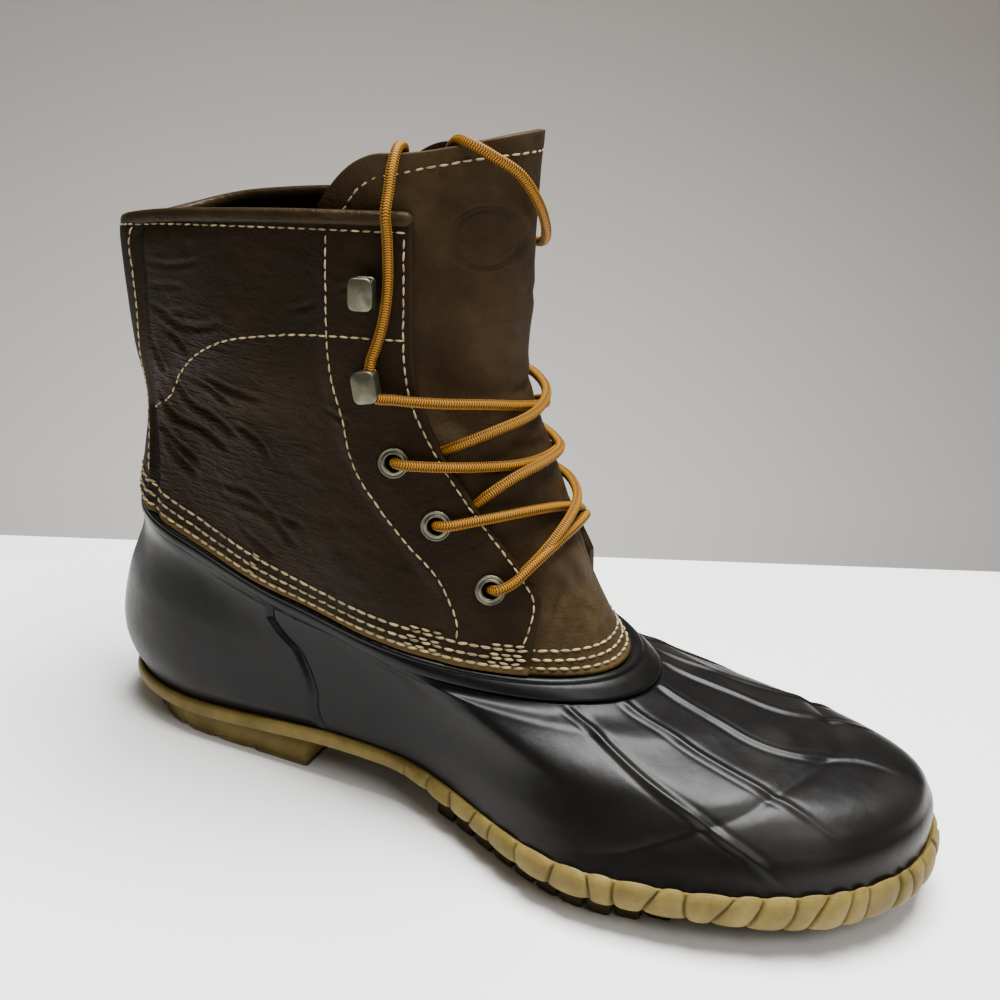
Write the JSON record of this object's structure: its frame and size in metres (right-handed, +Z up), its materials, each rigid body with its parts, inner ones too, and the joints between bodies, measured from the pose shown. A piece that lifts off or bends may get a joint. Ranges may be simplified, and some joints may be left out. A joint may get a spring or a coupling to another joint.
{
  "type": "duck boot",
  "caption": "Left ankle boot: moulded rubber shell with ridges, laced leather upper with a tall tongue, and a lobed gum sole with a heel.",
  "frame": {"origin": "centre of the boot's outline without the lace ends, on the floor under the sole", "axes": "+X heel to toe, +Y from the inner to the outer side of this left boot, +Z up"},
  "size_m": [0.3142, 0.1232, 0.2349],
  "materials": {
    "rubber": "satin charcoal moulded rubber, softly scuffed",
    "leather": "oiled pull-up leather, dark brown, creased, cream stitches",
    "gum_rubber": "natural gum rubber, matt, a little dirty",
    "insole_fabric": "woven cotton over a fibre board",
    "aged_brass": "aged brass, dull olive",
    "lace_braid": "round braid, golden orange with brown flecks"
  },
  "bodies": {
    "root": {"outsole": "gum_rubber", "rubber_shell": "rubber", "insole": "insole_fabric", "leather_upper": "leather", "tongue": "leather", "collar_binding": "leather", "eyelet_inner_1": "aged_brass", "eyelet_inner_2": "aged_brass", "eyelet_inner_3": "aged_brass", "hook_inner_1": "aged_brass", "hook_inner_2": "aged_brass", "eyelet_outer_1": "aged_brass", "eyelet_outer_2": "aged_brass", "eyelet_outer_3": "aged_brass", "hook_outer_1": "aged_brass", "hook_outer_2": "aged_brass", "lace_crossing_low": "lace_braid", "lace_crossing_middle": "lace_braid", "lace_crossing_top": "lace_braid", "lace_end_inner": "lace_braid", "lace_end_outer": "lace_braid"}
  },
  "joints": []
}
